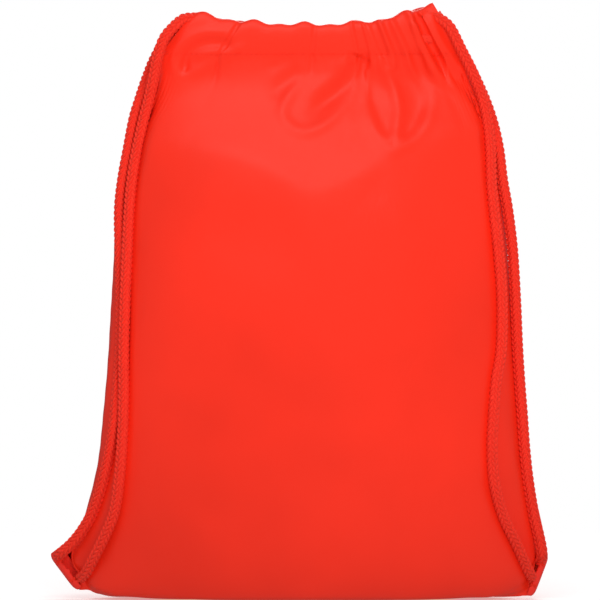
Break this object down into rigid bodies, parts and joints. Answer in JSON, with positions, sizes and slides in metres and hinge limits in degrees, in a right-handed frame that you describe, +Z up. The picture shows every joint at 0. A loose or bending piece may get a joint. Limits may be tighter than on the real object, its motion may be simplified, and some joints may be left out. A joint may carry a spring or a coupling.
{
  "type": "drawstring backpack",
  "caption": "Stuffed drawstring backpack of smooth red fabric: gathered mouth, cord tunnel in the hem, and a doubled braided cord down each side to its bottom corner.",
  "frame": {"origin": "middle of the base, on the surface that the bag stands on", "axes": "+Z up towards the mouth, +X across the bag to the right seen from the front, front panel facing -Y"},
  "size_m": [0.3292, 0.1244, 0.3947],
  "materials": {
    "shell": "smooth plain-weave polyester with a soft satin sheen",
    "cord": "round braided polyester cord",
    "thread": "polyester sewing thread",
    "binding": "folded and stitched polyester fabric"
  },
  "bodies": {
    "bag": {"front_panel": "shell", "back_panel": "shell", "left_side_seam": "shell", "right_side_seam": "shell", "bottom_seam": "shell", "front_hem": "shell", "back_hem": "shell", "front_hem_stitching": "thread", "back_hem_stitching": "thread", "left_corner_binding": "binding", "right_corner_binding": "binding", "left_corner_bartack": "thread", "right_corner_bartack": "thread", "left_cord_front_strand": "cord", "left_cord_back_strand": "cord", "right_cord_front_strand": "cord", "right_cord_back_strand": "cord", "left_cord_front_run": "cord", "left_cord_back_run": "cord", "right_cord_front_run": "cord", "right_cord_back_run": "cord"},
    "left_mouth": {"left_mouth_bartack": "thread", "right_cord_turn": "cord"},
    "right_mouth": {"right_mouth_bartack": "thread", "left_cord_turn": "cord"}
  },
  "joints": [
    {"name": "left_mouth_draw", "type": "slide", "parent": "bag", "child": "left_mouth", "axis": [1, 0, 0], "range_m": [-0.012, 0.035], "deforming": ["front_panel", "back_panel", "front_hem", "back_hem", "front_hem_stitching", "back_hem_stitching", "left_side_seam", "left_cord_front_run", "left_cord_back_run", "right_cord_front_run", "right_cord_back_run", "left_cord_front_strand", "left_cord_back_strand"]},
    {"name": "right_mouth_draw", "type": "slide", "parent": "bag", "child": "right_mouth", "axis": [-1, 0, 0], "range_m": [-0.012, 0.035], "deforming": ["front_panel", "back_panel", "front_hem", "back_hem", "front_hem_stitching", "back_hem_stitching", "right_side_seam", "left_cord_front_run", "left_cord_back_run", "right_cord_front_run", "right_cord_back_run", "right_cord_front_strand", "right_cord_back_strand"]}
  ]
}
